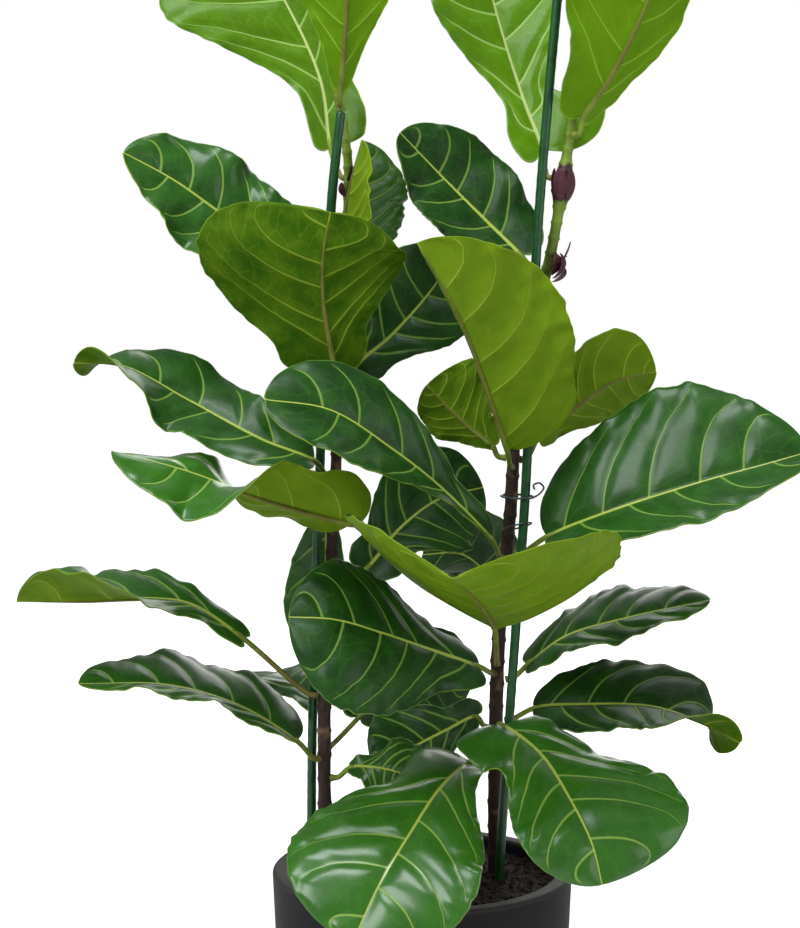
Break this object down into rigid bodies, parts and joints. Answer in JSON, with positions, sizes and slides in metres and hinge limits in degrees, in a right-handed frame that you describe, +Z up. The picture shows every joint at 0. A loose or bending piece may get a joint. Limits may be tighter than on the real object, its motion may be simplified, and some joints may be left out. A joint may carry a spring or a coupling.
{
  "type": "potted fiddle leaf fig",
  "caption": "Potted fiddle leaf fig: staked woody stems with broad, violin-shaped leathery leaves all the way up, in a plain round dark pot filled with soil.",
  "frame": {"origin": "centre of the pot's flat underside", "axes": "+Z up along the pot's axis, +X to the right of the viewer in the picture, +Y away from the viewer"},
  "size_m": [0.6918, 0.4399, 1.1224],
  "materials": {
    "pot": "matt charcoal, finely grained",
    "soil": "very dark, crumbly, matt",
    "bark": "rough brown bark, green towards the tip",
    "stake": "glossy dark green coating",
    "wire": "dull grey wire",
    "leaf": "waxy dark green top with pale veins, duller yellow-green underside",
    "leaf_young": "bright yellow-green young leaf with pale veins"
  },
  "bodies": {
    "root": {"pot": "pot", "soil": "soil", "stem_left": "bark", "stem_right": "bark", "stake_left": "stake", "stake_right": "stake", "stem_clip": "wire", "leaf_left_01": "leaf", "leaf_left_02": "leaf", "leaf_left_03": "leaf", "leaf_left_04": "leaf", "leaf_left_05": "leaf", "leaf_left_06": "leaf", "leaf_left_07": "leaf", "leaf_left_08": "leaf", "leaf_left_09": "leaf", "leaf_left_10": "leaf", "leaf_left_11": "leaf", "leaf_left_12": "leaf_young", "leaf_left_13": "leaf_young", "leaf_left_14": "leaf", "leaf_left_15": "leaf", "leaf_left_16": "leaf", "leaf_right_01": "leaf", "leaf_right_02": "leaf", "leaf_right_03": "leaf", "leaf_right_04": "leaf", "leaf_right_05": "leaf", "leaf_right_06": "leaf", "leaf_right_07": "leaf", "leaf_right_08": "leaf", "leaf_right_09": "leaf", "leaf_right_10": "leaf", "leaf_right_11": "leaf", "leaf_right_12": "leaf", "leaf_right_13": "leaf", "leaf_right_14": "leaf_young", "leaf_right_15": "leaf_young", "leaf_right_16": "leaf", "leaf_right_17": "leaf", "leaf_right_18": "leaf"}
  },
  "joints": []
}
